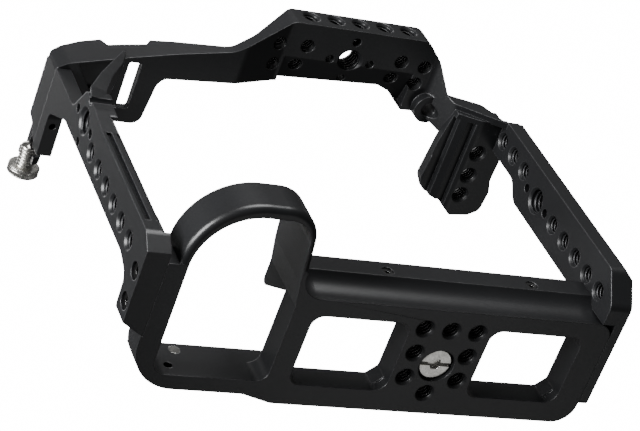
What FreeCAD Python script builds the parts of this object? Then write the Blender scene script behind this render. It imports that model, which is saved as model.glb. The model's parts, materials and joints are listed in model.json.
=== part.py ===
import FreeCAD, Part
import math
import os

# A bolted camera cage for a tall DSLR body, machined from black aluminium, in millimetres.
# X runs along the base with the grip side at negative X, the lens side is negative Y, and Z is up.
# The sizes are measured from the camera screw's axis and the underside of the base plate. At the
# end every piece is moved sideways, so that the origin is under the middle of the whole cage.

Vector = FreeCAD.Vector

# Base plate
base_thickness = 10.0
base_rear_y = 20.1
base_front_y = -22.6
base_end_x = 61.2
base_corner_radius = 8.0
hole_pitch = 10.0
base_hole_rear_y = 5.4
base_hole_front_y = -14.7
base_hole_middle_y = -4.75
base_hole_last_y = 11.5
window_inner_x = 15.4
window_outer_x = 51.5
window_front_y = -16.3
window_rear_y = 11.9
window_corner_radius = 4.5
window_step = 4.6
window_step_depth = 3.5

# Front lip of the base plate, with a round cove under it
lip_front_y = -26.0
lip_thickness = 3.0
lip_top_z = 21.0
cove_radius = 9.45
cove_y = -31.0
cove_z = 4.5
cove_left_x = -51.0
lip_hole_radius = 2.2
lip_hole_z = 15.4
lip_hole_xs = (-22.6, 33.2)

# Ring round the camera's portrait grip
ring_centre_x = -79.0
ring_centre_y = -31.0
ring_inner_radius = 20.0
ring_wall = 4.0
ring_height = 14.2
ring_right_inner_x = -60.9
ring_side_wall = 2.5
ring_side_height = 26.5
ring_side_end_y = -8.8
ring_edge_radius = 2.2
ring_corner_radius = 13.0
grip_opening_left_x = -100.0
grip_opening_right_x = -59.3
grip_opening_rear_y = 11.5
grip_base_rear_y = 17.1
grip_base_corner = 16.5
grip_base_left_x = -107.5
grip_wall_height = 17.3
grip_wall_right_x = -54.0

# Grip side post
post_outer_x = -115.0
post_thickness = 8.1
post_front_y = -38.5
post_rear_y = -21.5
post_face_front_y = -40.0
arm_thickness = 5.5
arm_bottom_z = 111.6
arm_rear_y = 3.0
foot_rear_y = -2.6
post_hole_y = -27.8
post_hole_first_z = 16.0
post_hole_count = 6
post_accessory_y = -31.6
post_accessory_z = 79.4
blade_relief_depth = 0.9
groove_width = 2.0
groove_depth = 1.2

# Top frame
seam_z = 118.0
bar_height = 14.2
bar_corner_y = -29.0
notch_height = 10.0
band_height = 11.5
sheet_thickness = 3.2
slot_pocket_left_x = -95.5
slot_pocket_right_x = -76.5
corner_pocket_depth = 2.2
hump_rise = 4.5
hump_thickness = 10.5
hump_front_y = -58.0
hump_left_x = -30.0
hump_right_x = 24.0
hump_hole_first_x = -22.8
hump_hole_count = 5
hump_hole_drop = 4.4
hump_hole_depth = 7.0
drill_point_height = 1.6
hump_accessory_x = -4.7
hump_accessory_y = -45.2
slot_left_x = -89.4
slot_right_x = -84.6
slot_front_y = -35.2
slot_rear_y = -16.4
flange_drop = 14.0
flange_thickness = 8.0
shoulder_boss_radius = 5.6
shoulder_boss_top = 10.0
end_post_rise = 4.8
shoulder_hole = (32.1, -31.6)
flange_hole_x = 50.5
flange_hole_ys = (-24.0, -14.1, -5.3)

# End post, in one piece with the top frame
end_inner_x = 56.2
end_thickness = 8.6
end_front_y = -40.0
end_rear_y = -20.0
end_drop = 14.8
end_chamfer = 2.5
end_hole_y = -29.3
end_hole_first_z = 10.6
end_hole_count = 5
end_accessory_y = -29.4
end_accessory_z = 65.8
end_top_hole_y = -32.8
end_top_hole_zs = (80.3, 90.4, 100.3)
end_foot_rear_y = 12.0

# Threads and holes, as wall radii
quarter_radius = 2.75
quarter_mouth = 3.5
three_eighths_radius = 4.2
three_eighths_mouth = 5.0
pin_radius = 1.7
pin_circle = 8.2
countersink = 0.8

# Camera screw with its washer and clip
camera_screw_radius = 3.175
camera_bore_clearance = 0.075
camera_head_radius = 6.0
camera_head_height = 2.6
camera_recess_radius = 6.5
camera_recess_depth = 4.4
camera_washer_thickness = 0.5
camera_washer_gap = 0.05
camera_clip_recess_depth = 2.6
camera_clip_radius = 5.2
camera_clip_recess_radius = 5.6
camera_clip_thickness = 0.9
camera_clip_sink = 0.2
camera_screw_reach = 5.0
camera_slot_width = 1.4
camera_slot_depth = 1.1
camera_hex_size = 4.0
camera_hex_depth = 1.6

# Thumb screw with its swivel pad, on an ear of the top frame
thumb_x = -114.2
thumb_z = 121.5
thumb_radius = 3.1
thumb_clearance = 0.07
thumb_head_radius = 5.75
thumb_head_thickness = 3.0
thumb_head_y = 13.8
thumb_tip_y = 5.6
thumb_pad_height = 1.2
thumb_stud_radius = 1.2
thumb_stud_length = 2.0
ear_front_y = 7.6
ear_thickness = 3.0
ear_rim = 1.4
saddle_mouth_start = 121
saddle_mouth_end = 280
saddle_mouth_step = 53
beam_clearance = 0.25
beam_inset = 0.6
beam_width = 2.8
beam_height = 3.2

# Fixing screws, pads and magnet
grip_screw_ys = (-24.4, -12.9)
grip_screw_z = 4.2
grip_screw_radius = 1.75
grip_screw_length = 13.0
screw_head_radius = 2.9
screw_head_height = 2.2
screw_head_sink = 1.0
screw_head_gap = 0.15
end_screw_ys = (-11.0, 5.0)
end_screw_z = 4.0
end_screw_radius = 1.5
end_screw_length = 8.0
end_head_radius = 2.6
end_head_height = 1.9
arm_screw_ys = (-23.0, -9.0)
arm_screw_radius = 1.25
arm_screw_length = 12.5
arm_head_radius = 2.1
arm_head_height = 1.6
arm_head_sink = 0.8
pad_length = 38.0
pad_width = 4.0
pad_height = 1.1
pad_sink = 0.6
pad_y = 16.0
pad_centre_x = 33.0
grub_length = 2.2
magnet_radius = 2.0
magnet_length = 3.0
magnet_x = -87.7
magnet_z = 14.0
pin_hole_x = -92.3
pin_hole_z = 5.4
pin_hole_radius = 1.5
pin_hole_depth = 3.5


def to_space(plane, u, v, w):
    """Place sketch coordinates u and v, and w across the sketch, in space."""
    if plane == "xy":
        return Vector(u, v, w)
    if plane == "xz":
        return Vector(u, w, v)
    return Vector(w, u, v)


def rounded_wire(corners, plane, level):
    """Close an outline of (u, v) or (u, v, radius) corners with tangent arcs."""
    stops = []
    count = len(corners)
    for index in range(count):
        here = corners[index]
        before = corners[index - 1]
        after = corners[(index + 1) % count]
        corner = Vector(here[0], here[1], 0)
        radius = here[2] if len(here) > 2 else 0.0
        to_before = Vector(before[0], before[1], 0) - corner
        to_after = Vector(after[0], after[1], 0) - corner
        half_turn = to_before.getAngle(to_after) / 2
        if radius <= 0 or half_turn > math.radians(89.5):
            stops.append((corner, corner, corner))
            continue
        reach = radius / math.tan(half_turn)
        to_before.normalize()
        to_after.normalize()
        middle_line = to_before + to_after
        middle_line.normalize()
        centre = corner + middle_line * (radius / math.sin(half_turn))
        start = corner + to_before * reach
        end = corner + to_after * reach
        stops.append((start, centre - middle_line * radius, end))
    edges = []
    for index in range(count):
        start, middle, end = stops[index]
        next_start = stops[(index + 1) % count][0]
        if (end - start).Length > 1e-6:
            edges.append(Part.Arc(to_space(plane, start.x, start.y, level),
                                  to_space(plane, middle.x, middle.y, level),
                                  to_space(plane, end.x, end.y, level)).toShape())
        if (next_start - end).Length > 1e-6:
            edges.append(Part.makeLine(to_space(plane, end.x, end.y, level),
                                       to_space(plane, next_start.x, next_start.y, level)))
    return Part.Wire(edges)


def prism(corners, plane, start, end):
    """Extrude a rounded outline across its plane, from start to end."""
    face = Part.Face(rounded_wire(corners, plane, start))
    return face.extrude(to_space(plane, 0, 0, end - start))


def block(low, high):
    """Make a box from its low and high corners."""
    size = [high[axis] - low[axis] for axis in range(3)]
    return Part.makeBox(size[0], size[1], size[2], Vector(*low))


DIRECTIONS = {"x": Vector(1, 0, 0), "y": Vector(0, 1, 0), "z": Vector(0, 0, 1)}


def on_axis(axis, first, second, along):
    """Place the two cross coordinates and the distance along an axis in space."""
    if axis == "x":
        return Vector(along, first, second)
    if axis == "y":
        return Vector(first, along, second)
    return Vector(first, second, along)


def rod(axis, place, start, end, radius):
    """Make a cylinder along an axis."""
    return Part.makeCylinder(radius, end - start, on_axis(axis, place[0], place[1], start), DIRECTIONS[axis])


def taper(axis, place, start, end, start_radius, end_radius):
    """Make a cone frustum along an axis."""
    return Part.makeCone(start_radius, end_radius, end - start,
                         on_axis(axis, place[0], place[1], start), DIRECTIONS[axis])


def through_hole(axis, place, start, end, radius, mouth):
    """Cutter for a hole through a wall, countersunk at both faces."""
    extra = 0.5
    slope = (mouth - radius) / countersink
    bore = rod(axis, place, start - extra, end + extra, radius)
    near = taper(axis, place, start - extra, start + countersink, mouth + slope * extra, radius)
    far = taper(axis, place, end - countersink, end + extra, radius, mouth + slope * extra)
    return [bore, near, far]


def quarter_hole(axis, place, start, end):
    """Cutter for a quarter inch tapped hole."""
    return through_hole(axis, place, start, end, quarter_radius, quarter_mouth)


def accessory_hole(axis, place, start, end, pins):
    """Cutter for a three eighths tapped hole and its locating pin holes."""
    cutters = through_hole(axis, place, start, end, three_eighths_radius, three_eighths_mouth)
    for turn in pins:
        angle = math.radians(turn)
        spot = (place[0] + pin_circle * math.cos(angle), place[1] + pin_circle * math.sin(angle))
        cutters.append(rod(axis, spot, start - 0.5, end + 0.5, pin_radius))
    return cutters


def socket(axis, place, start, end, across):
    """Cutter for a hexagonal key socket."""
    radius = across / math.sqrt(3)
    points = []
    for step in range(7):
        angle = math.radians(60 * step)
        points.append(on_axis(axis, place[0] + radius * math.cos(angle),
                              place[1] + radius * math.sin(angle), start))
    return Part.Face(Part.makePolygon(points)).extrude(DIRECTIONS[axis] * (end - start))


def base_outline():
    """Outline of the base plate, seen from above."""
    return [
        (base_end_x, base_front_y, 6.0),
        (base_end_x, base_rear_y, base_corner_radius),
        (-55.0, base_rear_y, 8.0),
        (-66.0, grip_base_rear_y, 8.0),
        (grip_base_left_x, grip_base_rear_y, grip_base_corner),
        (grip_base_left_x, foot_rear_y),
        (foot_inner_x, foot_rear_y),
        (foot_inner_x, ring_centre_y),
        (-57.0, ring_centre_y),
        (-57.0, base_front_y),
    ]


def grip_opening():
    """Opening of the base under the camera's portrait grip."""
    front = ring_centre_y - ring_inner_radius
    return [
        (grip_opening_left_x, grip_opening_rear_y, 5.0),
        (grip_opening_left_x, front, ring_centre_x - grip_opening_left_x - 0.5),
        (ring_right_inner_x - ring_side_wall, front, ring_corner_radius - ring_wall),
        (ring_right_inner_x, -28.0),
        (grip_opening_right_x, -19.0),
        (grip_opening_right_x, grip_opening_rear_y, 4.0),
    ]


def ring_outer():
    """Outer outline of the grip ring, seen from above."""
    outer = ring_inner_radius + ring_wall
    left = ring_centre_x - outer
    front = ring_centre_y - outer
    return [
        (left, 0.0),
        (left, front, outer - 0.5),
        (ring_right_inner_x - 0.6, front, ring_corner_radius),
        (ring_right_inner_x + ring_side_wall, -28.0),
        (ring_right_inner_x + ring_side_wall, 0.0),
    ]


def make_ring():
    """Wall of the grip ring, lower at the front than at its inner side."""
    shell = prism(ring_outer(), "xy", 0.0, ring_side_height)
    lower_edges = [edge for edge in shell.Edges if edge.BoundBox.ZMax < 0.001 and edge.BoundBox.YMax < -27.0]
    shell = shell.makeFillet(ring_edge_radius, lower_edges)
    front = ring_centre_y - ring_inner_radius - ring_wall - 1.0
    low_side = [(front, -1.0), (front, ring_height), (-30.0, ring_height, 4.0),
                (-22.0, base_thickness), (-22.0, -1.0)]
    high_side = [(front, -1.0), (front, ring_height), (-48.0, ring_height, 4.0),
                 (-39.0, ring_side_height, 4.0), (ring_side_end_y, ring_side_height, 2.0),
                 (ring_side_end_y - 10.0, base_thickness - 1.0), (ring_side_end_y - 10.0, -1.0)]
    left = prism(low_side, "yz", -106.0, ring_centre_x)
    right = prism(high_side, "yz", ring_centre_x, -50.0)
    return shell.common(left.fuse(right).removeSplitter())


def make_base():
    """Base plate with the grip ring, the front lip and its tapped holes."""
    plate = prism(base_outline(), "xy", 0.0, base_thickness)
    lip = [(lip_front_y, 0.0), (lip_front_y, lip_top_z, 0.6),
           (lip_front_y + lip_thickness, lip_top_z, 0.6),
           (lip_front_y + lip_thickness, base_thickness), (window_front_y, base_thickness),
           (window_front_y, 0.0)]
    lip_solid = prism(lip, "yz", -58.6, end_inner_x)
    corner = prism([(-60.5, -33.0), (-58.6, -31.5), (-55.0, lip_front_y), (-50.0, lip_front_y),
                    (-50.0, -20.0), (-60.5, -20.0)], "xy", 0.0, lip_top_z)
    wall = prism(base_outline(), "xy", 0.0, grip_wall_height)
    wall = wall.common(block((-120.0, grip_opening_rear_y, -1.0), (grip_wall_right_x, 30.0, 30.0)))
    solid = plate.fuse([make_ring(), lip_solid, corner, wall])
    solid = solid.cut(prism(grip_opening(), "xy", -1.0, ring_side_height + 1.0))
    cove = rod("x", (cove_y, cove_z), cove_left_x, base_end_x + 5.0, cove_radius)
    cove_end = Part.makeSphere(cove_radius, Vector(cove_left_x, cove_y, cove_z))
    cutters = [cove, cove_end]
    for side in (1, -1):
        left = min(side * window_inner_x, side * window_outer_x)
        right = max(side * window_inner_x, side * window_outer_x)
        cutters.append(window_cutter(left, right))
    for place in base_hole_places():
        cutters += quarter_hole("z", place, 0.0, base_thickness)
    cutters += camera_screw_cutters()
    for x in lip_hole_xs:
        cutters.append(rod("y", (x, lip_hole_z), lip_front_y - 1.0, lip_front_y + lip_thickness + 1.0,
                           lip_hole_radius))
    for y in grip_screw_ys:
        cutters.append(rod("x", (y, grip_screw_z), foot_inner_x - 1.0, grip_opening_left_x + 1.0,
                           grip_screw_radius))
    for y in end_screw_ys:
        cutters.append(rod("x", (y, end_screw_z), end_outer_x - end_screw_length - end_head_height - 1.0,
                           base_end_x + 1.0, end_screw_radius))
    for side in (1, -1):
        cutters.append(pad_shape(side, base_thickness - pad_sink, base_thickness + 1.0))
    cutters.append(rod("y", (magnet_x, magnet_z), grip_opening_rear_y - 1.0,
                       grip_opening_rear_y + magnet_length, magnet_radius))
    cutters.append(rod("y", (pin_hole_x, pin_hole_z), grip_opening_rear_y - 1.0,
                       grip_opening_rear_y + pin_hole_depth, pin_hole_radius))
    return solid.cut(cutters).removeSplitter()


def window_cutter(left, right):
    """Window through the base, with a step left in one rear corner."""
    outline = [(left, window_front_y, window_corner_radius), (right, window_front_y, window_corner_radius),
               (right, window_rear_y, window_corner_radius), (left, window_rear_y, window_corner_radius)]
    opening = prism(outline, "xy", -1.0, base_thickness + 1.0)
    step = prism([(right - window_step, window_rear_y + 1.0), (right + 1.0, window_rear_y + 1.0),
                  (right + 1.0, window_rear_y - window_step)], "xy",
                 window_step_depth, base_thickness + 2.0)
    return opening.cut(step)


def base_hole_places():
    """Centres of the tapped holes round the camera screw."""
    places = []
    for x in (-hole_pitch, hole_pitch):
        for y in (base_hole_front_y, base_hole_middle_y, base_hole_rear_y):
            places.append((x, y))
    places.append((0.0, base_hole_front_y))
    places.append((0.0, base_hole_last_y))
    return places


def camera_screw_cutters():
    """Counterbore, bore and clip recess of the camera screw."""
    bore = camera_screw_radius + camera_bore_clearance
    clip_floor = base_thickness - camera_clip_recess_depth
    return [
        rod("z", (0.0, 0.0), -1.0, camera_recess_depth, camera_recess_radius),
        rod("z", (0.0, 0.0), 0.0, base_thickness + 1.0, bore),
        rod("z", (0.0, 0.0), clip_floor, base_thickness + 1.0, camera_clip_recess_radius),
    ]


def make_camera_screw():
    """Slotted camera screw with a hexagonal socket, and a groove for its clip."""
    head_top = camera_recess_depth - camera_washer_thickness - 2 * camera_washer_gap
    head_bottom = head_top - camera_head_height
    top = base_thickness + camera_screw_reach
    head = rod("z", (0.0, 0.0), head_bottom, head_top, camera_head_radius)
    head = head.makeChamfer(0.4, [edge for edge in head.Edges
                                  if abs(edge.BoundBox.ZMax - head_bottom) < 1e-6])
    shank = rod("z", (0.0, 0.0), head_top, top, camera_screw_radius)
    shank = shank.makeChamfer(0.7, [edge for edge in shank.Edges if abs(edge.BoundBox.ZMin - top) < 1e-6])
    screw = head.fuse(shank)
    half_slot = camera_slot_width / 2
    slot = block((-camera_head_radius, -half_slot, head_bottom - 1.0),
                 (camera_head_radius, half_slot, head_bottom + camera_slot_depth))
    key = socket("z", (0.0, 0.0), head_bottom - 1.0, head_bottom + camera_hex_depth, camera_hex_size)
    clip_bottom = base_thickness - camera_clip_thickness - camera_clip_sink
    groove = rod("z", (0.0, 0.0), clip_bottom, clip_bottom + camera_clip_thickness,
                 camera_screw_radius + 1.0)
    groove = groove.cut(rod("z", (0.0, 0.0), 0.0, top, camera_screw_radius - 0.6))
    return screw.cut([slot, key, groove]).removeSplitter()


def make_camera_washer():
    """Thin washer between the camera screw's head and the base."""
    top = camera_recess_depth - camera_washer_gap
    ring = rod("z", (0.0, 0.0), top - camera_washer_thickness, top, camera_head_radius - 0.3)
    return ring.cut(rod("z", (0.0, 0.0), 0.0, base_thickness, camera_screw_radius + 0.08))


def make_camera_clip():
    """Snap ring in the groove of the camera screw, which keeps the screw in the cage."""
    bottom = base_thickness - camera_clip_thickness - camera_clip_sink
    ring = rod("z", (0.0, 0.0), bottom, bottom + camera_clip_thickness, camera_clip_radius)
    ring = ring.cut(rod("z", (0.0, 0.0), 0.0, base_thickness + 1.0, camera_screw_radius - 0.6))
    gap = block((0.0, -1.1, bottom - 1.0), (camera_clip_radius + 1.0, 1.1, base_thickness + 1.0))
    return ring.cut(gap)


def post_side_outline():
    """Outline of the grip side post, seen from the side."""
    return [
        (foot_rear_y, 0.0),
        (foot_rear_y - 3.0, 7.5, 2.0),
        (foot_rear_y - 5.5, 9.3, 3.0),
        (-18.5, 10.0, 5.0),
        (post_rear_y, 19.0, 8.0),
        (post_rear_y, 96.0, 6.0),
        (-18.0, 103.5, 4.0),
        (-14.5, arm_bottom_z, 4.0),
        (arm_rear_y, arm_bottom_z),
        (arm_rear_y, seam_z),
        (bar_corner_y, seam_z),
        (bar_corner_y, 93.0, 4.0),
        (post_face_front_y, 85.0, 2.0),
        (post_face_front_y, 74.0, 8.0),
        (post_front_y, 62.0, 10.0),
        (post_front_y, 6.0, 4.0),
        (-34.5, 0.0),
    ]


def make_horn():
    """Curved tapering guard that leaves the post's front edge and ends before the top bar."""
    sections = [
        (78.0, [(-115.0, -40.0), (-108.4, -38.8), (-107.4, -33.0), (-115.0, -33.0)]),
        (86.0, [(-113.8, -41.4), (-107.8, -40.2), (-106.4, -34.0), (-113.0, -33.5)]),
        (94.0, [(-108.4, -43.0), (-104.0, -42.0), (-102.8, -37.2), (-108.4, -37.0)]),
        (101.0, [(-102.6, -44.4), (-99.0, -43.6), (-98.4, -40.4), (-102.6, -40.4)]),
        (107.0, [(-97.9, -45.2), (-96.6, -45.0), (-96.4, -43.7), (-97.9, -43.7)]),
    ]
    wires = []
    for height, points in sections:
        corners = [Vector(x, y, height) for x, y in points]
        wires.append(Part.makePolygon(corners + [corners[0]]))
    return Part.makeLoft(wires, True, True)


def make_grip_post():
    """Post on the grip side, with the arm that carries the top frame's end."""
    side = prism(post_side_outline(), "yz", post_outer_x, post_outer_x + post_thickness)
    arm_relief = block((post_outer_x + arm_thickness, -60.0, 97.0), (post_outer_x + 20.0, 20.0, seam_z + 1.0))
    slope = prism([(post_outer_x + arm_thickness, 97.0), (post_outer_x + post_thickness + 1.0, 90.0),
                   (post_outer_x + post_thickness + 1.0, 97.0)], "xz", -60.0, 20.0)
    blade_relief = block((foot_inner_x - blade_relief_depth, -60.0, 18.0), (foot_inner_x + 1.0, 20.0, 76.0))
    edge = prism([(foot_inner_x - 3.6, post_front_y - 1.0), (foot_inner_x + 1.0, post_front_y - 1.0),
                  (foot_inner_x + 1.0, post_front_y + 3.6)], "xy", 6.0, 74.0)
    foot_corner = prism([(post_outer_x - 1.0, foot_rear_y - 5.4), (foot_inner_x, foot_rear_y),
                         (foot_inner_x, foot_rear_y + 3.0), (post_outer_x - 1.0, foot_rear_y + 3.0)],
                        "xy", -1.0, 30.0)
    solid = side.cut([arm_relief, slope, blade_relief, edge, foot_corner]).fuse(make_horn())
    cutters = []
    for index in range(post_hole_count):
        place = (post_hole_y, post_hole_first_z + index * hole_pitch)
        cutters += quarter_hole("x", place, post_outer_x, post_outer_x + post_thickness)
    cutters += accessory_hole("x", (post_accessory_y, post_accessory_z), post_outer_x,
                              post_outer_x + post_thickness, (0, 90, 180, 270))
    for offset in (0.28, 0.72):
        x = post_outer_x + post_thickness * offset
        cutters.append(block((x - groove_width / 2, post_front_y - 1.0, 12.0),
                             (x + groove_width / 2, post_front_y + groove_depth, 62.0)))
    for y in grip_screw_ys:
        cutters.append(rod("x", (y, grip_screw_z), post_outer_x - 1.0, foot_inner_x + 1.0,
                           grip_screw_radius))
        cutters.append(rod("x", (y, grip_screw_z), post_outer_x - 1.0,
                           post_outer_x + screw_head_sink + screw_head_height,
                           screw_head_radius + screw_head_gap))
    for y in arm_screw_ys:
        cutters.append(rod("z", (arm_screw_x, y), arm_bottom_z - 1.0, seam_z + 1.0, arm_screw_radius))
    return solid.cut(cutters).removeSplitter()


def bar_front_view():
    """Outline of the top bar, hump and shoulder, seen from the front."""
    return [
        (post_outer_x, seam_z),
        (post_outer_x, band_top_z, 2.0),
        (-104.0, bar_top_z, 4.0),
        (-96.8, bar_top_z, 0.8),
        (-95.2, notch_z, 0.8),
        (-81.8, notch_z - 1.6, 0.8),
        (-80.2, bar_top_z - 3.2, 0.8),
        (-53.0, hump_bottom_z - 0.5, 12.0),
        (-44.0, hump_bottom_z + 1.5, 8.0),
        (hump_left_x, hump_top_z, 6.0),
        (hump_right_x, hump_top_z, 5.0),
        (31.0, hump_top_z - 5.0, 5.0),
        (35.2, seam_z - 0.2, 3.0),
        (49.5, seam_z - 4.8, 4.0),
        (54.6, end_top_z),
        (end_inner_x, end_top_z),
        (end_inner_x, end_top_z - 1.7),
        (51.0, end_top_z + 0.4, 2.0),
        (37.5, seam_z - 7.2, 3.0),
        (30.5, hump_bottom_z, 3.0),
        (hump_left_x - 2.0, hump_bottom_z, 5.0),
        (-48.0, seam_z, 8.0),
    ]


def bar_plan():
    """Outline of the top bar, hump and shoulder, seen from above."""
    return [
        (post_outer_x, bar_corner_y, 2.0),
        (-111.0, -31.4, 6.0),
        (-90.0, -36.8),
        (-72.0, -41.0),
        (-52.0, -44.8, 10.0),
        (hump_left_x - 1.0, hump_front_y, 6.0),
        (hump_right_x, hump_front_y, 5.0),
        (31.0, -51.0, 6.0),
        (35.6, end_front_y, 3.0),
        (end_inner_x, end_front_y),
        (end_inner_x, -28.2),
        (38.0, -25.6, 4.0),
        (31.0, -28.6, 3.0),
        (22.5, -28.3, 2.0),
        (17.0, -33.6, 3.0),
        (11.0, -36.0, 3.0),
        (-31.5, -33.4, 1.0),
        (-76.0, -30.2),
        (arm_inner_x, -24.0),
        (arm_inner_x, -18.0),
        (post_outer_x, -18.0),
    ]


def sheet_plan():
    """Outline of the thin sheet behind the bar that holds the strap slot."""
    return [
        (arm_inner_x, -30.0),
        (-92.0, -35.0),
        (-70.0, -39.0),
        (-60.0, -32.2),
        (-76.6, -30.2, 5.0),
        (-78.8, -10.7, 4.0),
        (-95.0, -10.7, 4.0),
        (-95.0, -18.5, 5.0),
        (arm_inner_x, -18.5),
    ]


def flange_plan():
    """Outline of the shoulder's rear flange, seen from above."""
    return [
        (38.0, -38.0),
        (end_inner_x, -38.0),
        (end_inner_x, -27.0),
        (60.8, -24.0, 2.0),
        (60.4, -13.0, 6.0),
        (62.0, -8.0, 4.0),
        (61.2, 0.6, 4.0),
        (57.0, 3.2, 3.0),
        (49.0, 4.0, 1.0),
        (43.8, -0.6, 2.0),
        (37.2, -2.6, 3.0),
        (34.0, -8.0, 4.0),
        (35.6, -25.0, 6.0),
    ]


def make_flange():
    """Shoulder flange behind the bar, with two channels along its underside."""
    top = flange_bottom_z + flange_thickness
    profile = [(64.0, flange_bottom_z), (64.0, top), (49.5, top, 4.0), (32.0, top + 1.0),
               (32.0, flange_bottom_z + 5.6), (47.0, flange_bottom_z, 6.0)]
    flange = prism(profile, "xz", -40.0, 6.0).common(prism(flange_plan(), "xy", flange_bottom_z - 1.0,
                                                                 top + 8.0))
    channels = []
    for start, width, lift in ((35.0, 4.2, 5.4), (42.2, 3.2, 2.6)):
        channels.append(block((start, -36.0, flange_bottom_z - 4.0),
                              (start + width, 0.0, flange_bottom_z + lift)))
    return flange.cut(channels)


def end_side_outline():
    """Outline of the end post, seen from the side."""
    return [
        (end_front_y, end_top_z, 2.0),
        (end_front_y, 9.0, 4.0),
        (-30.0, 0.0, 4.0),
        (base_front_y - 0.1, 0.0),
        (base_front_y - 0.1, base_thickness + 0.1),
        (end_rear_y, base_thickness + 0.1),
        (end_rear_y, 79.0, 6.0),
        (-26.0, 85.0, 6.0),
        (-26.0, end_top_z + end_post_rise, 2.0),
        (-37.0, end_top_z + end_post_rise),
        (-37.0, end_top_z),
    ]


def make_end_post():
    """End post with a low foot that overlaps the base plate's end."""
    post = prism(end_side_outline(), "yz", end_inner_x, end_outer_x)
    foot = prism([(base_front_y - 2.0, 0.0), (end_foot_rear_y, 0.0, 2.0),
                  (end_foot_rear_y, base_thickness, 2.0), (base_front_y - 2.0, base_thickness + 2.0)],
                 "yz", base_end_x, end_outer_x)
    bridge = block((base_end_x, base_front_y - 2.0, 0.0), (end_outer_x, end_rear_y, base_thickness + 2.0))
    chamfer = prism([(end_outer_x + 1.0, end_front_y - 1.0), (end_outer_x - end_chamfer - 1.0, end_front_y - 1.0),
                     (end_outer_x + 1.0, end_front_y + end_chamfer + 1.0)], "xy", -1.0, end_top_z + 1.0)
    corner = prism([(end_inner_x - 2.0, base_front_y), (base_end_x, base_front_y, 6.0),
                    (base_end_x, base_front_y + 12.0), (end_inner_x - 2.0, base_front_y + 12.0)],
                   "xy", -1.0, base_thickness)
    return post.fuse([foot, bridge]).cut([chamfer, corner]).removeSplitter()


def make_ear():
    """Open saddle behind the arm that holds the thumb screw, on a beam that runs along the arm's end."""
    rim_radius = thumb_radius + thumb_clearance + ear_rim
    rear_y = ear_front_y + ear_thickness
    rim = rod("y", (thumb_x, thumb_z), ear_front_y, rear_y, rim_radius)
    mouth = [(thumb_x, thumb_z)]
    for turn in range(saddle_mouth_start, saddle_mouth_end + 1, saddle_mouth_step):
        angle = math.radians(turn)
        mouth.append((thumb_x + 2 * rim_radius * math.cos(angle), thumb_z + 2 * rim_radius * math.sin(angle)))
    rim = rim.cut(prism(mouth, "xz", ear_front_y - 1.0, rear_y + 1.0))
    beam_bottom = thumb_z + thumb_radius + beam_clearance
    beam = block((thumb_x + beam_inset, -6.0, beam_bottom),
                 (thumb_x + beam_inset + beam_width, rear_y, beam_bottom + beam_height))
    return rim.fuse(beam)


def make_top_frame():
    """Top frame in one piece: arm end, bar, hump, shoulder, flange and end post."""
    bar = prism(bar_front_view(), "xz", hump_front_y - 2.0, 0.0).common(
        prism(bar_plan(), "xy", end_top_z - 8.0, hump_top_z + bar_height))
    sheet = prism(sheet_plan(), "xy", seam_z, seam_z + sheet_thickness)
    band = prism([(bar_corner_y + 2.0, seam_z), (arm_rear_y - 1.4, seam_z),
                  (foot_rear_y, band_top_z - 4.2, 2.0), (foot_rear_y - 1.0, band_top_z, 1.0),
                  (bar_corner_y + 2.0, band_top_z)], "yz", post_outer_x, arm_inner_x)
    boss = rod("z", shoulder_hole, seam_z + 1.0, seam_z + shoulder_boss_top, shoulder_boss_radius)
    solid = bar.fuse([sheet, band, boss, make_flange(), make_end_post(), make_ear()])
    ramp = prism([(-44.0, hump_bottom_z - 1.0), (-44.0, hump_bottom_z), (-30.0, hump_bottom_z + 4.5),
                  (-30.0, hump_bottom_z - 1.0)], "yz", hump_left_x - 0.8, 22.5)
    ceiling = block((50.0, -37.4, end_top_z - 6.0), (end_inner_x, -20.0, flange_bottom_z))
    cutters = [ramp, ceiling, slot_pocket(), corner_pocket()]
    cutters.append(rod("y", (thumb_x, thumb_z), ear_front_y - 1.0, ear_front_y + ear_thickness + 1.0,
                       thumb_radius + thumb_clearance))
    slot = [(slot_left_x, slot_front_y, 1.0), (slot_right_x, slot_front_y, 1.0),
            (slot_right_x, slot_rear_y, 1.0), (slot_left_x, slot_rear_y, 1.0)]
    cutters.append(prism(slot, "xy", seam_z - 1.0, seam_z + sheet_thickness + 12.0))
    cutters += top_hole_cutters()
    cutters += end_post_cutters()
    return solid.cut(cutters).removeSplitter()


def slot_pocket():
    """Space above the slotted sheet, which leaves a thin wall along the bar's front."""
    outline = [(slot_pocket_left_x, slot_front_y + 1.8), (slot_left_x, slot_front_y),
               (slot_pocket_right_x, slot_front_y - 2.8), (slot_pocket_right_x, slot_rear_y + 8.0),
               (slot_pocket_left_x, slot_rear_y + 8.0)]
    return prism(outline, "xy", seam_z + sheet_thickness, hump_top_z + 1.0)


def corner_pocket():
    """Shallow pocket in the bar's underside, with a slanting end towards the post."""
    outline = [(-107.6, -31.8), (-100.7, -21.8), (-92.4, -21.8, 2.0), (-92.4, -35.2)]
    return prism(outline, "xy", seam_z - 1.0, seam_z + corner_pocket_depth)


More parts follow.
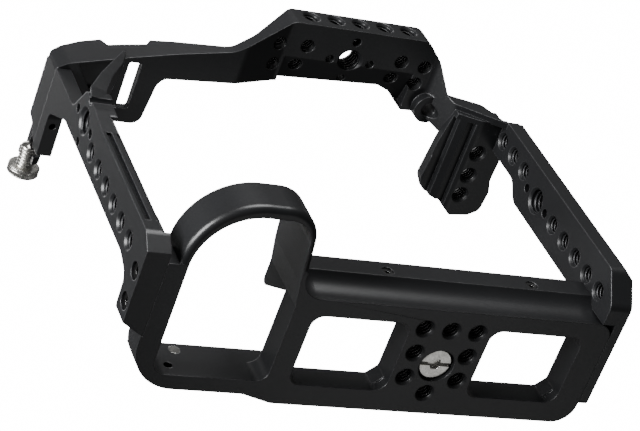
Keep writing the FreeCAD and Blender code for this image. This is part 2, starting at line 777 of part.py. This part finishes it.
def top_hole_cutters():
    """Tapped holes of the hump, the shoulder and the arm."""
    cutters = []
    for index in range(hump_hole_count):
        place = (hump_hole_first_x + index * hole_pitch, hump_hole_z)
        bottom = hump_front_y + hump_hole_depth
        cutters.append(rod("y", place, hump_front_y - 1.0, bottom, quarter_radius))
        cutters.append(taper("y", place, bottom, bottom + drill_point_height, quarter_radius, 0.0))
        cutters.append(taper("y", place, hump_front_y - 0.5, hump_front_y + countersink,
                             quarter_mouth + 0.47, quarter_radius))
    for place in ((-34.5, -49.0), (-23.2, -49.0), (-34.6, -40.5), (-25.0, -40.5),
                  (15.9, -48.0), (26.0, -47.2), (14.5, -40.4), (24.6, -39.9)):
        cutters.append(rod("z", place, seam_z - 4.0, hump_top_z + 1.0, quarter_radius))
        cutters.append(taper("z", place, hump_top_z - countersink, hump_top_z + 0.5, quarter_radius,
                             quarter_mouth + 0.47))
    cutters.append(rod("z", shoulder_hole, end_top_z, hump_top_z + 1.0, quarter_radius))
    cutters += accessory_hole("z", (hump_accessory_x, hump_accessory_y), hump_bottom_z, hump_top_z,
                              (0, 90, 180, 270))
    for y in flange_hole_ys:
        cutters += quarter_hole("z", (flange_hole_x, y), flange_bottom_z,
                                flange_bottom_z + flange_thickness)
    for y in arm_screw_ys:
        cutters.append(rod("z", (arm_screw_x, y), seam_z - 1.0, band_top_z + 8.0, arm_screw_radius))
        cutters.append(rod("z", (arm_screw_x, y), band_top_z - arm_head_sink - arm_head_height,
                           band_top_z + 8.0, arm_head_radius + screw_head_gap))
    return cutters


def end_post_cutters():
    """Tapped holes of the end post and its fixing screw holes."""
    cutters = []
    for index in range(end_hole_count):
        place = (end_hole_y, end_hole_first_z + index * hole_pitch)
        cutters += quarter_hole("x", place, end_inner_x, end_outer_x)
    for z in end_top_hole_zs:
        cutters += quarter_hole("x", (end_top_hole_y, z), end_inner_x, end_outer_x)
    cutters += accessory_hole("x", (end_accessory_y, end_accessory_z), end_inner_x, end_outer_x, (90, 270))
    for y in end_screw_ys:
        cutters.append(rod("x", (y, end_screw_z), base_end_x - 1.0, end_outer_x + 1.0, end_screw_radius))
        cutters.append(rod("x", (y, end_screw_z), end_outer_x - end_head_height, end_outer_x + 1.0,
                           end_head_radius + screw_head_gap))
    return cutters


def make_thumb_screw():
    """Thumb screw with a knurled disc head and a blind bore for its swivel pad."""
    place = (thumb_x, thumb_z)
    head = rod("y", place, thumb_head_y, thumb_head_y + thumb_head_thickness, thumb_head_radius)
    head = head.makeChamfer(0.5, [edge for edge in head.Edges if edge.BoundBox.YLength < 1e-6])
    shank = rod("y", place, thumb_tip_y, thumb_head_y, thumb_radius)
    bore = rod("y", place, thumb_tip_y - 1.0, thumb_tip_y + thumb_stud_length + 0.4,
               thumb_stud_radius + 0.05)
    return head.fuse(shank).cut(bore).removeSplitter()


def make_thumb_pad():
    """Domed pad on a stud, which bears on the camera and doesn't turn with the screw."""
    place = (thumb_x, thumb_z)
    back = thumb_tip_y - 0.1
    dome_radius = (thumb_radius ** 2 + thumb_pad_height ** 2) / (2 * thumb_pad_height)
    centre = Vector(thumb_x, back - thumb_pad_height + dome_radius, thumb_z)
    dome = Part.makeSphere(dome_radius, centre).common(
        rod("y", place, back - 2 * thumb_pad_height, back, thumb_radius))
    stud = rod("y", place, back, back + thumb_stud_length, thumb_stud_radius)
    return dome.fuse(stud).removeSplitter()


def socket_screw(axis, place, face, inward, head_radius, head_height, shank_radius, length, key):
    """Cap screw whose head starts at a face and whose shank runs inward."""
    low, high = sorted((face, face + inward * head_height))
    head = rod(axis, place, low, high, head_radius)
    low, high = sorted((face + inward * head_height, face + inward * (head_height + length)))
    shank = rod(axis, place, low, high, shank_radius)
    low, high = sorted((face - inward, face + inward * head_height * 0.6))
    return head.fuse(shank).cut(socket(axis, place, low, high, key)).removeSplitter()


def make_grip_screws():
    """Two cap screws that hold the grip side post on the base."""
    screws = []
    for y in grip_screw_ys:
        screws.append(socket_screw("x", (y, grip_screw_z), post_outer_x + screw_head_sink, 1,
                                   screw_head_radius, screw_head_height, grip_screw_radius,
                                   grip_screw_length - screw_head_height, 2.5))
    return Part.makeCompound(screws)


def make_end_screws():
    """Two cap screws that hold the end post's foot on the base."""
    screws = []
    for y in end_screw_ys:
        screws.append(socket_screw("x", (y, end_screw_z), end_outer_x, -1, end_head_radius,
                                   end_head_height, end_screw_radius, end_screw_length, 2.0))
    return Part.makeCompound(screws)


def make_arm_screws():
    """Two small cap screws that hold the top frame on the post's arm."""
    screws = []
    for y in arm_screw_ys:
        screws.append(socket_screw("z", (arm_screw_x, y), band_top_z - arm_head_sink, -1,
                                   arm_head_radius, arm_head_height, arm_screw_radius,
                                   arm_screw_length, 2.0))
    return Part.makeCompound(screws)


def pad_shape(side, bottom, top):
    """Rounded strip along the rear of the base, on one side of the camera screw."""
    left = side * pad_centre_x - pad_length / 2
    right = left + pad_length
    return prism([(left, pad_y - pad_width / 2, 1.8), (right, pad_y - pad_width / 2, 1.8),
                  (right, pad_y + pad_width / 2, 1.8), (left, pad_y + pad_width / 2, 1.8)],
                 "xy", bottom, top)


def make_base_pads():
    """Two rubber strips that the camera rests on."""
    bottom = base_thickness - pad_sink
    return Part.makeCompound([pad_shape(side, bottom, bottom + pad_height) for side in (1, -1)])


def make_lip_grubs():
    """Two grub screws in the front lip that stop the camera from turning."""
    grubs = []
    for x in lip_hole_xs:
        front = lip_front_y + 0.5
        grub = rod("y", (x, lip_hole_z), front, front + grub_length, lip_hole_radius)
        grubs.append(grub.cut(socket("y", (x, lip_hole_z), front - 1.0, front + 1.2, 1.5)))
    return Part.makeCompound(grubs)


def make_magnet():
    """Round magnet in the rear wall of the grip opening, which holds a key."""
    return rod("y", (magnet_x, magnet_z), grip_opening_rear_y, grip_opening_rear_y + magnet_length,
               magnet_radius)


# Places worked out from the sizes above
foot_inner_x = post_outer_x + post_thickness
arm_inner_x = post_outer_x + arm_thickness
arm_screw_x = post_outer_x + arm_thickness / 2
end_outer_x = end_inner_x + end_thickness
bar_top_z = seam_z + bar_height
notch_z = seam_z + notch_height
band_top_z = seam_z + band_height
hump_bottom_z = seam_z + hump_rise
hump_top_z = hump_bottom_z + hump_thickness
hump_hole_z = hump_top_z - hump_hole_drop
flange_bottom_z = seam_z - flange_drop
end_top_z = seam_z - end_drop
middle_x = (thumb_x - thumb_head_radius + end_outer_x) / 2
middle_y = (hump_front_y + base_rear_y) / 2

PIECES = {
    "base_plate": make_base,
    "grip_side_post": make_grip_post,
    "top_frame": make_top_frame,
    "camera_screw": make_camera_screw,
    "camera_screw_washer": make_camera_washer,
    "camera_screw_clip": make_camera_clip,
    "thumb_screw": make_thumb_screw,
    "thumb_screw_pad": make_thumb_pad,
    "grip_post_screws": make_grip_screws,
    "end_post_screws": make_end_screws,
    "arm_screws": make_arm_screws,
    "base_pads": make_base_pads,
    "lip_grub_screws": make_lip_grubs,
    "key_magnet": make_magnet,
}

os.makedirs("parts", exist_ok=True)
for name, make in PIECES.items():
    shape = make()
    shape.translate(Vector(-middle_x, -middle_y, 0.0))
    shape.exportStep("parts/" + name + ".step")
    print(name, len(shape.Solids), "solids", round(shape.Volume, 1), "mm3", shape.isValid())
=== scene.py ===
import bpy
import json
import math
from mathutils import Matrix, Vector


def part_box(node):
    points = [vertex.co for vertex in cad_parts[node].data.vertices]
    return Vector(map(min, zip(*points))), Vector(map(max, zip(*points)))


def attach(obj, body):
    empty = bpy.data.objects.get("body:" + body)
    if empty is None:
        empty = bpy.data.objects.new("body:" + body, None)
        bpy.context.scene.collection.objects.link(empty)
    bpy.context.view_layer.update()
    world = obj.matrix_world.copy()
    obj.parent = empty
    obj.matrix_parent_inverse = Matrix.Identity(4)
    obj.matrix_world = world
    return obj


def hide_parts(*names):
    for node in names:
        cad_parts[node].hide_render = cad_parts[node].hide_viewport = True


# Looks of the camera cage, in metres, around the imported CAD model.
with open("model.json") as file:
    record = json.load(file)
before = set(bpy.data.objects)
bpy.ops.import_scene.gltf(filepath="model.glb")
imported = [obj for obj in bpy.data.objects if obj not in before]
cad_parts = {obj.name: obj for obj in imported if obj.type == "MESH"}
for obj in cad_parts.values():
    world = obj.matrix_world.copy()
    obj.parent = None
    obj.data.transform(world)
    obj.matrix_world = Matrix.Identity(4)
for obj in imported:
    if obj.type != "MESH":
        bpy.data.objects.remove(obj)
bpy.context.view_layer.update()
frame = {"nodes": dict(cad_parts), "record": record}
nodes = frame["nodes"]

MM = 0.001
# Places below are in millimetres from the camera screw's axis, as the part's source measures them.
SCREW_AXIS = Vector((27.575, 18.95, 0.0))


def place(x, y, z):
    """Point in the row frame, from millimetres off the camera screw's axis."""
    return (Vector((x, y, z)) + SCREW_AXIS) * MM


# Threads
QUARTER_PITCH = 1.27 * MM
QUARTER_RADIUS = 2.75 * MM
THREE_EIGHTHS_PITCH = 1.5875 * MM
THREE_EIGHTHS_SMALLEST_RADIUS_MM = 4
THREAD_STEPS = 30
THREAD_FADE_STEPS = 6
THREAD_SINK = 0.02 * MM
THREAD_HALF_WIDTH = 0.46
THREAD_DEPTH_SHARE = 0.2

# Upright tapped holes of the hump, in millimetres, with the height of their middle.
UPRIGHT_HOLES = ((-34.5, -49.0), (-23.2, -49.0), (-34.6, -40.5), (-25.0, -40.5),
                 (15.9, -48.0), (26.0, -47.2), (14.5, -40.4), (24.6, -39.9))
UPRIGHT_HOLE_MIDDLE = 128.6
UPRIGHT_THREAD_LENGTH = 6.6 * MM

# Camera screw
CAMERA_THREAD_MIDDLE = 12.45
CAMERA_THREAD_RADIUS = 3.15 * MM
CAMERA_THREAD_LENGTH = 4.0 * MM
CAMERA_THREAD_DEPTH = 0.2 * MM

# Thumb screw
LATHE_STEPS = 160
THUMB_MAJOR_RADIUS = 3.1 * MM
THUMB_THREAD_DEPTH = 0.62 * MM
THUMB_THREAD_FLANK = 2.4
THUMB_ROWS_A_TURN = 12
THUMB_LEAD_IN = 0.35 * MM
THUMB_TIP_RADIUS = 2.45 * MM
PAD_BORE_RADIUS = 1.25 * MM
PAD_BORE_DEPTH = 2.4 * MM
PAD_BORE_END_RADIUS = 0.02 * MM
HEAD_HEIGHT = 3.4 * MM
HEAD_CHAMFER = 0.45 * MM
HEAD_GROOVE_DEPTH = 0.3 * MM
HEAD_GROOVE_START = 0.9 * MM
HEAD_GROOVE_END = 1.3 * MM
KNURL_START = 1.5 * MM
KNURL_END_GAP = 0.2 * MM
KNURL_DEPTH = 0.12 * MM
KNURL_TEETH = 72
DISH_RIM_SHARE = 0.62
DISH_FLOOR_SHARE = 0.56
DISH_DEPTH = 0.5 * MM

# Camera, as fitted to the photograph: its place in millimetres and its directions
PHOTO_WIDTH_PIXELS = 640
PHOTO_FOCAL_PIXELS = 2224.05
CAMERA_PLACE = (-366.78, -382.14, -526.97)
CAMERA_RIGHT = Vector((0.8931, -0.3222, -0.3139))
CAMERA_DOWN = Vector((0.0968, 0.8191, -0.5655))
CAMERA_DEPTH = Vector((0.4393, 0.4747, 0.7627))
SENSOR_WIDTH = 36.0

# Stage: light from the surroundings, their brightness as the camera sees them, and the floor
WORLD_LIGHT = 0.10
WORLD_SEEN = 16.0
FLOOR_HALF = 3.0
FLOOR_TONE = (0.82, 0.82, 0.82, 1.0)
CAGE_MIDDLE = place(-20, -10, 65)
SCREW_FOOT = place(0, 0, 0)
# Softboxes: name, what it is aimed at, offset from there in metres, side in metres, power in watts.
SOFTBOXES = (
    ("left_softbox", CAGE_MIDDLE, (-1.1, -0.35, -0.1), 0.7, 52.0),
    ("front_softbox", CAGE_MIDDLE, (0.1, -1.2, 0.25), 0.7, 22.0),
    ("under_softbox", SCREW_FOOT, (0.396, 0.423, -0.684), 0.35, 0.35),
    ("top_softbox", CAGE_MIDDLE, (0.1, 0.2, 1.3), 1.1, 11.0),
)

# Colours
ANODISED_DARK = (0.0075, 0.0078, 0.0085)
ANODISED_LIGHT = (0.011, 0.0114, 0.0125)
ANODISED_SPECK = (0.018, 0.0184, 0.0195)
# Painted highlight: the lighter colour laid along the anodised edges
ANODISED_PAINTED_HIGHLIGHT = (0.075, 0.075, 0.08)
STEEL = (0.62, 0.61, 0.58)
# Painted highlight colour along the edges of the bright steel and nickel parts
STEEL_PAINTED_HIGHLIGHT = (0.9, 0.9, 0.88)
BLACK_STEEL = (0.07, 0.07, 0.07)
# Painted highlight colour along the edges of the black steel parts
BLACK_STEEL_PAINTED_HIGHLIGHT = (0.3, 0.3, 0.3)
RUBBER = (0.018, 0.018, 0.018)
NYLON = (0.035, 0.035, 0.035)
NICKEL = (0.72, 0.71, 0.68)

# Edges: how far they are rounded in the shading, and the turn of the normal where they start and are full
ANODISED_EDGE_RADIUS = 0.45 * MM
METAL_EDGE_RADIUS = 0.12 * MM
EDGE_START = 0.995
EDGE_FULL = 0.86
EDGE_SAMPLES = 6
FINE_BUMP = 0.02 * MM
MOULDED_BUMP = 0.05 * MM


# Materials

def new_material(name):
    """Empty node material with its principled shader."""
    material = bpy.data.materials.new(name)
    material.use_nodes = True
    return material, material.node_tree, material.node_tree.nodes["Principled BSDF"]


def add_node(tree, kind, **settings):
    """Node with its settings: names of attributes, or of input sockets."""
    made = tree.nodes.new(kind)
    for key, value in settings.items():
        if key in made.inputs:
            made.inputs[key].default_value = value
        else:
            setattr(made, key, value)
    return made


def noise(tree, scale, detail=3.0):
    """Noise in object space, scale in cycles a metre."""
    coordinates = add_node(tree, "ShaderNodeTexCoord")
    texture = add_node(tree, "ShaderNodeTexNoise", Scale=scale, Detail=detail)
    tree.links.new(coordinates.outputs["Object"], texture.inputs["Vector"])
    return texture.outputs["Fac"]


def to_range(tree, value, low, high, out_low, out_high):
    """Map a value from one range to another."""
    mapped = add_node(tree, "ShaderNodeMapRange")
    mapped.inputs["From Min"].default_value = low
    mapped.inputs["From Max"].default_value = high
    mapped.inputs["To Min"].default_value = out_low
    mapped.inputs["To Max"].default_value = out_high
    tree.links.new(value, mapped.inputs["Value"])
    return mapped.outputs["Result"]


def mix_colours(tree, factor, first, second):
    """Blend two colours, or the outputs of two nodes, by a factor."""
    mixed = tree.nodes.new("ShaderNodeMix")
    mixed.data_type = "RGBA"
    tree.links.new(factor, mixed.inputs[0])
    for socket, colour in ((6, first), (7, second)):
        if isinstance(colour, tuple):
            mixed.inputs[socket].default_value = (*colour, 1.0)
        else:
            tree.links.new(colour, mixed.inputs[socket])
    return mixed.outputs[2]


def edge_mask(tree, radius):
    """Soft mask along sharp edges, with the rounded normal that makes it."""
    bevel = add_node(tree, "ShaderNodeBevel", samples=EDGE_SAMPLES, Radius=radius)
    geometry = add_node(tree, "ShaderNodeNewGeometry")
    product = add_node(tree, "ShaderNodeVectorMath", operation="DOT_PRODUCT")
    tree.links.new(bevel.outputs["Normal"], product.inputs[0])
    tree.links.new(geometry.outputs["Normal"], product.inputs[1])
    mask = to_range(tree, product.outputs["Value"], EDGE_START, EDGE_FULL, 0.0, 1.0)
    return mask, bevel.outputs["Normal"]


def make_anodised():
    """Bead-blasted aluminium with a black anodised coat and a painted highlight along its edges, broken up by
    noise.
    """
    material, tree, shader = new_material("black_anodised")
    mask, rounded = edge_mask(tree, ANODISED_EDGE_RADIUS)
    cloud = to_range(tree, noise(tree, 35.0), 0.3, 0.7, 0.0, 1.0)
    coat = mix_colours(tree, cloud, ANODISED_DARK, ANODISED_LIGHT)
    speck = to_range(tree, noise(tree, 9000.0, 2.0), 0.35, 0.65, 0.0, 0.35)
    grained = mix_colours(tree, speck, coat, ANODISED_SPECK)
    # Painted highlight: the edge mask, broken up by noise, blends the coat toward a lighter colour
    highlight_breakup = to_range(tree, noise(tree, 140.0), 0.35, 0.65, 0.35, 0.75)
    painted_highlight = add_node(tree, "ShaderNodeMath", operation="MULTIPLY")
    tree.links.new(mask, painted_highlight.inputs[0])
    tree.links.new(highlight_breakup, painted_highlight.inputs[1])
    colour = mix_colours(tree, painted_highlight.outputs["Value"], grained, ANODISED_PAINTED_HIGHLIGHT)
    tree.links.new(colour, shader.inputs["Base Color"])
    gloss = to_range(tree, noise(tree, 2600.0, 4.0), 0.3, 0.7, 0.29, 0.38)
    tree.links.new(gloss, shader.inputs["Roughness"])
    shader.inputs["Metallic"].default_value = 0.35
    bump = add_node(tree, "ShaderNodeBump", Strength=0.16, Distance=FINE_BUMP)
    tree.links.new(noise(tree, 7000.0, 2.0), bump.inputs["Height"])
    tree.links.new(rounded, bump.inputs["Normal"])
    tree.links.new(bump.outputs["Normal"], shader.inputs["Normal"])
    return material


def make_metal(name, colour, roughness, turned_scale, edge=STEEL_PAINTED_HIGHLIGHT):
    """Turned metal with fine tool marks and a painted highlight along its edges."""
    material, tree, shader = new_material(name)
    mask, rounded = edge_mask(tree, METAL_EDGE_RADIUS)
    stain = to_range(tree, noise(tree, 420.0), 0.35, 0.7, 0.0, 1.0)
    darker = tuple(channel * 0.72 for channel in colour)
    base = mix_colours(tree, stain, colour, darker)
    # Painted highlight: the edge mask blends the metal toward a brighter colour along its edges
    tree.links.new(mix_colours(tree, mask, base, edge), shader.inputs["Base Color"])
    shader.inputs["Metallic"].default_value = 1.0
    gloss = to_range(tree, noise(tree, 2200.0), 0.3, 0.7, roughness * 0.8, roughness * 1.25)
    tree.links.new(gloss, shader.inputs["Roughness"])
    bump = add_node(tree, "ShaderNodeBump", Strength=0.12, Distance=FINE_BUMP)
    tree.links.new(noise(tree, turned_scale, 2.0), bump.inputs["Height"])
    tree.links.new(rounded, bump.inputs["Normal"])
    tree.links.new(bump.outputs["Normal"], shader.inputs["Normal"])
    return material


def make_matte(name, colour, roughness, grain_scale, grain):
    """Rubber or nylon with a fine moulded grain."""
    material, tree, shader = new_material(name)
    dust = to_range(tree, noise(tree, 300.0), 0.4, 0.75, 0.0, 1.0)
    lighter = tuple(channel * 1.8 for channel in colour)
    tree.links.new(mix_colours(tree, dust, colour, lighter), shader.inputs["Base Color"])
    gloss = to_range(tree, noise(tree, 1200.0), 0.3, 0.7, roughness * 0.9, roughness)
    tree.links.new(gloss, shader.inputs["Roughness"])
    bump = add_node(tree, "ShaderNodeBump", Strength=grain, Distance=MOULDED_BUMP)
    tree.links.new(noise(tree, grain_scale), bump.inputs["Height"])
    tree.links.new(bump.outputs["Normal"], shader.inputs["Normal"])
    return material


# Mesh pieces

def add_piece(name, verts, faces, material, body, smooth=True):
    """Closed mesh piece that rides on a body."""
    mesh = bpy.data.meshes.new(name)
    mesh.from_pydata([tuple(v) for v in verts], [], faces)
    mesh.validate()
    mesh.update()
    piece = bpy.data.objects.new(name, mesh)
    bpy.context.scene.collection.objects.link(piece)
    mesh.materials.append(material)
    for polygon in mesh.polygons:
        polygon.use_smooth = smooth
    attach(piece, body)
    return piece


def across(axis):
    """Two directions square to an axis."""
    first = axis.orthogonal().normalized()
    return first, axis.cross(first)


def thread_ridge(centre, axis, radius, length, pitch, depth, verts, faces):
    """Add one helical thread ridge: it grows inward for a positive depth and outward for a negative."""
    axis = axis.normalized()
    first, second = across(axis)
    count = max(THREAD_STEPS, int(length / pitch * THREAD_STEPS))
    start = len(verts)
    half = THREAD_HALF_WIDTH * pitch
    sink = THREAD_SINK if depth > 0 else -THREAD_SINK
    run = length - 2 * half
    for step in range(count + 1):
        along = -run / 2 + run * step / count
        angle = 2 * math.pi * along / pitch
        out = first * math.cos(angle) + second * math.sin(angle)
        fade = min(1.0, step / THREAD_FADE_STEPS, (count - step) / THREAD_FADE_STEPS)
        for offset, size in ((-half, radius + sink), (0.0, radius - depth * fade), (half, radius + sink)):
            verts.append(centre + axis * (along + offset) + out * size)
    for step in range(count):
        a = start + 3 * step
        for side in range(3):
            after = (side + 1) % 3
            faces.append((a + side, a + after, a + 3 + after, a + 3 + side))
    last = start + 3 * count
    faces.append((start, start + 2, start + 1))
    faces.append((last, last + 1, last + 2))


def make_hole_threads(materials):
    """Threads in the tapped holes, one piece for each part that is tapped."""
    groups = {}
    for mount in frame["record"]["mounts"]:
        if mount["kind"] != "threaded_hole":
            continue
        group = mount["name"].split("_thread")[0]
        dims = mount["dims"]
        coarse = dims["r_mm"] > THREE_EIGHTHS_SMALLEST_RADIUS_MM
        pitch = THREE_EIGHTHS_PITCH if coarse else QUARTER_PITCH
        groups.setdefault(group, []).append(
            (Vector(mount["pos_m"]), Vector(mount["axis"]), dims["r_mm"] * MM, dims["length_mm"] * MM, pitch))
    upright = groups.setdefault("hump_upright", [])
    for x, y in UPRIGHT_HOLES:
        centre = place(x, y, UPRIGHT_HOLE_MIDDLE)
        upright.append((centre, Vector((0, 0, 1)), QUARTER_RADIUS, UPRIGHT_THREAD_LENGTH, QUARTER_PITCH))
    for group, holes in groups.items():
        verts, faces = [], []
        for centre, axis, wall, length, pitch in holes:
            thread_ridge(centre, axis, wall, length, pitch, THREAD_DEPTH_SHARE * pitch, verts, faces)
        add_piece(group + "_threads", verts, faces, materials["black_aluminium"], "cage")


def lathe(rows, axis_point, axis, steps, verts, faces):
    """Close a turned body whose rows are (distance along the axis, function of the angle for the radius)."""
    first, second = across(axis)
    start = len(verts)
    for along, radius in rows:
        for step in range(steps):
            angle = 2 * math.pi * step / steps
            out = first * math.cos(angle) + second * math.sin(angle)
            verts.append(axis_point + axis * along + out * radius(angle))
    for row in range(len(rows) - 1):
        for step in range(steps):
            after = (step + 1) % steps
            a = start + row * steps
            faces.append((a + step, a + after, a + steps + after, a + steps + step))
    for row, reverse in ((0, True), (len(rows) - 1, False)):
        ring = [start + row * steps + step for step in range(steps)]
        faces.append(tuple(reversed(ring)) if reverse else tuple(ring))


def circle(radius):
    """Radius function of a plain round row."""
    return lambda angle: radius


def thread_row(along, pitch, major, depth):
    """Radius function of a row through a thread."""
    def radius(angle):
        phase = (along / pitch - angle / (2 * math.pi)) % 1.0
        return major - depth * (1 - min(1.0, THUMB_THREAD_FLANK * min(phase, 1 - phase)))
    return radius


def knurl_row(radius, depth, teeth):
    """Radius function of a row through straight knurling."""
    return lambda angle: radius - depth * abs(math.sin(angle * teeth / 2))


def thumb_screw_rows(shank, head_radius):
    """Rows of the thumb screw, from its pad's bore round the tip and along to the head's dish."""
    rows = [(PAD_BORE_DEPTH, circle(PAD_BORE_END_RADIUS)), (PAD_BORE_DEPTH, circle(PAD_BORE_RADIUS)),
            (0.0, circle(PAD_BORE_RADIUS)), (0.0, circle(THUMB_TIP_RADIUS))]
    count = int(shank / QUARTER_PITCH * THUMB_ROWS_A_TURN)
    for step in range(1, count + 1):
        along = THUMB_LEAD_IN + (shank - THUMB_LEAD_IN) * step / count
        rows.append((along, thread_row(along, QUARTER_PITCH, THUMB_MAJOR_RADIUS, THUMB_THREAD_DEPTH)))
    chamfered = circle(head_radius - HEAD_CHAMFER)
    full = circle(head_radius)
    grooved = circle(head_radius - HEAD_GROOVE_DEPTH)
    knurled = knurl_row(head_radius, KNURL_DEPTH, KNURL_TEETH)
    rim_end = HEAD_HEIGHT - HEAD_CHAMFER
    for along, radius in ((0.0, chamfered), (HEAD_CHAMFER, full),
                          (HEAD_GROOVE_START, full), (HEAD_GROOVE_START, grooved),
                          (HEAD_GROOVE_END, grooved), (HEAD_GROOVE_END, full),
                          (KNURL_START, knurled), (rim_end - KNURL_END_GAP, knurled),
                          (rim_end, full), (HEAD_HEIGHT, chamfered),
                          (HEAD_HEIGHT, circle(head_radius * DISH_RIM_SHARE)),
                          (HEAD_HEIGHT - DISH_DEPTH, circle(head_radius * DISH_FLOOR_SHARE))):
        rows.append((shank + along, radius))
    return rows


def make_thumb_screw(material):
    """Thumb screw with a cut thread, a grooved and knurled head and the bore for its pad."""
    low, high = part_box("thumb_screw")
    centre = (low + high) / 2
    tip = Vector((centre.x, low.y, centre.z))
    rows = thumb_screw_rows(high.y - low.y - HEAD_HEIGHT, (high.z - low.z) / 2)
    verts, faces = [], []
    lathe(rows, tip, Vector((0, 1, 0)), LATHE_STEPS, verts, faces)
    piece = add_piece("thumb_screw_threaded", verts, faces, material, "thumb_screw", False)
    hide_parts("thumb_screw")


def make_camera_thread(material):
    """Thread on the part of the camera screw that enters the camera."""
    verts, faces = [], []
    thread_ridge(place(0, 0, CAMERA_THREAD_MIDDLE), Vector((0, 0, 1)), CAMERA_THREAD_RADIUS,
                 CAMERA_THREAD_LENGTH, QUARTER_PITCH, -CAMERA_THREAD_DEPTH, verts, faces)
    add_piece("camera_screw_thread", verts, faces, material, "camera_screw")


# Stage

def make_floor():
    """Pale floor that only shows from above, because the photograph looks up from under the cage."""
    half = FLOOR_HALF
    corners = [(-half, -half, 0), (half, -half, 0), (half, half, 0), (-half, half, 0)]
    mesh = bpy.data.meshes.new("floor")
    mesh.from_pydata(corners, [], [(0, 1, 2, 3)])
    floor = bpy.data.objects.new("floor", mesh)
    bpy.context.scene.collection.objects.link(floor)
    material, tree, shader = new_material("pale_floor")
    shader.inputs["Base Color"].default_value = FLOOR_TONE
    shader.inputs["Roughness"].default_value = 0.8
    geometry = add_node(tree, "ShaderNodeNewGeometry")
    clear = add_node(tree, "ShaderNodeBsdfTransparent")
    mixed = add_node(tree, "ShaderNodeMixShader")
    tree.links.new(geometry.outputs["Backfacing"], mixed.inputs[0])
    tree.links.new(shader.outputs["BSDF"], mixed.inputs[1])
    tree.links.new(clear.outputs["BSDF"], mixed.inputs[2])
    tree.links.new(mixed.outputs["Shader"], tree.nodes["Material Output"].inputs["Surface"])
    mesh.materials.append(material)
    floor.visible_shadow = False
    floor.visible_diffuse = False
    floor.visible_glossy = False


def make_world():
    """White surroundings that are brighter to the camera than to the object."""
    world = bpy.data.worlds.new("white_studio")
    world.use_nodes = True
    bpy.context.scene.world = world
    tree = world.node_tree
    background = tree.nodes["Background"]
    background.inputs["Color"].default_value = (1.0, 1.0, 1.0, 1.0)
    path = add_node(tree, "ShaderNodeLightPath")
    strength = to_range(tree, path.outputs["Is Camera Ray"], 0.0, 1.0, WORLD_LIGHT, WORLD_SEEN)
    tree.links.new(strength, background.inputs["Strength"])


def add_softbox(name, target, offset, size, power):
    """Square soft light aimed at a point from an offset."""
    data = bpy.data.lights.new(name, "AREA")
    data.size = size
    data.energy = power
    light = bpy.data.objects.new(name, data)
    bpy.context.scene.collection.objects.link(light)
    light.location = target + Vector(offset)
    light.rotation_euler = (-Vector(offset)).to_track_quat("-Z", "Y").to_euler()


def make_camera():
    """Camera under the cage, as the fitted view of the photograph gives it."""
    data = bpy.data.cameras.new("photo_camera")
    data.sensor_width = SENSOR_WIDTH
    data.lens = PHOTO_FOCAL_PIXELS / PHOTO_WIDTH_PIXELS * SENSOR_WIDTH
    camera = bpy.data.objects.new("photo_camera", data)
    bpy.context.scene.collection.objects.link(camera)
    turn = Matrix((CAMERA_RIGHT, -CAMERA_DOWN, -CAMERA_DEPTH)).transposed().to_4x4()
    camera.matrix_world = Matrix.Translation(place(*CAMERA_PLACE)) @ turn
    data.clip_start = 0.05
    data.clip_end = 50.0
    bpy.context.scene.camera = camera


materials = {
    "black_aluminium": make_anodised(),
    "bright_steel": make_metal("bright_steel", STEEL, 0.28, 3000.0),
    "black_steel": make_metal("black_steel", BLACK_STEEL, 0.34, 3000.0, BLACK_STEEL_PAINTED_HIGHLIGHT),
    "black_rubber": make_matte("black_rubber", RUBBER, 0.85, 2500.0, 0.4),
    "black_nylon": make_matte("black_nylon", NYLON, 0.5, 4000.0, 0.15),
    "nickel": make_metal("nickel", NICKEL, 0.2, 4000.0),
}

# Every CAD node gets the finish of its slot in the record.
for row in frame["record"]["subparts"]:
    node = nodes[row["node"]]
    node.data.materials.clear()
    node.data.materials.append(materials[row["material_slot"]])

make_hole_threads(materials)
make_thumb_screw(materials["bright_steel"])
make_camera_thread(materials["bright_steel"])
make_floor()
make_world()
for softbox in SOFTBOXES:
    add_softbox(*softbox)
make_camera()
